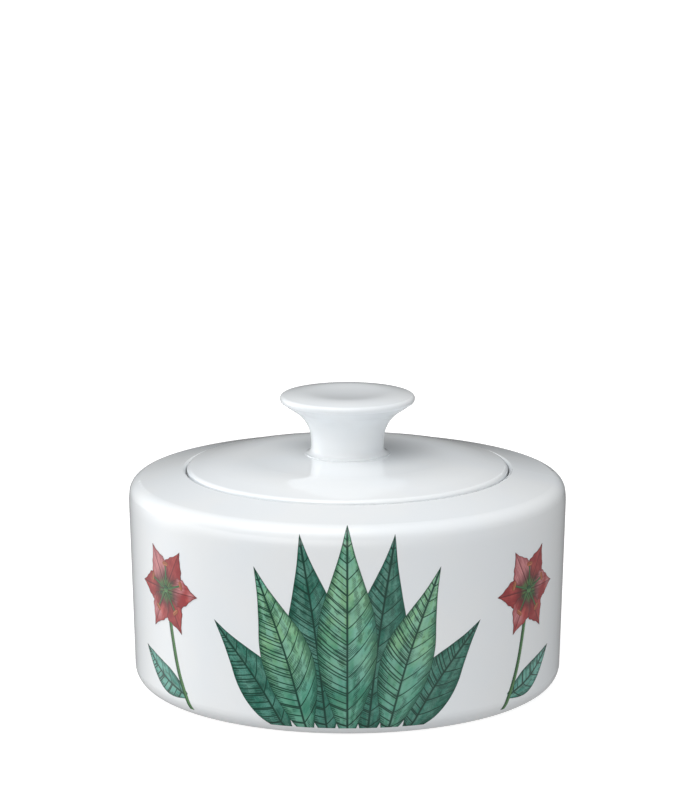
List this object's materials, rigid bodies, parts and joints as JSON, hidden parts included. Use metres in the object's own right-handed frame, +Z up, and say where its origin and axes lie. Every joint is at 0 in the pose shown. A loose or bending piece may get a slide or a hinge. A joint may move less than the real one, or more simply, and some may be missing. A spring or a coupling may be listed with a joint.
{
  "type": "sugar bowl",
  "caption": "Straight-sided porcelain sugar bowl with a rounded shoulder, a sunk flanged lid and a flared knob, printed with botanical decoration.",
  "frame": {"origin": "centre of the foot ring, on the plane that the bowl stands on", "axes": "+Z up along the bowl's axis of revolution; the tall main leaf of the print faces -Y"},
  "size_m": [0.1199, 0.12, 0.0804],
  "materials": {
    "body_glaze": "glossy white glaze, bare bisque on the foot ring and the lid seat",
    "lid_glaze": "glossy white glaze, bare bisque where the lid rests",
    "knob_glaze": "glossy white glaze"
  },
  "bodies": {
    "bowl": {"bowl": "body_glaze"},
    "lid": {"lid": "lid_glaze", "knob": "knob_glaze"}
  },
  "joints": [
    {"name": "lid_lift", "type": "slide", "parent": "bowl", "child": "lid", "axis": [0, 0, 1], "range_m": [0, 0.06]}
  ]
}
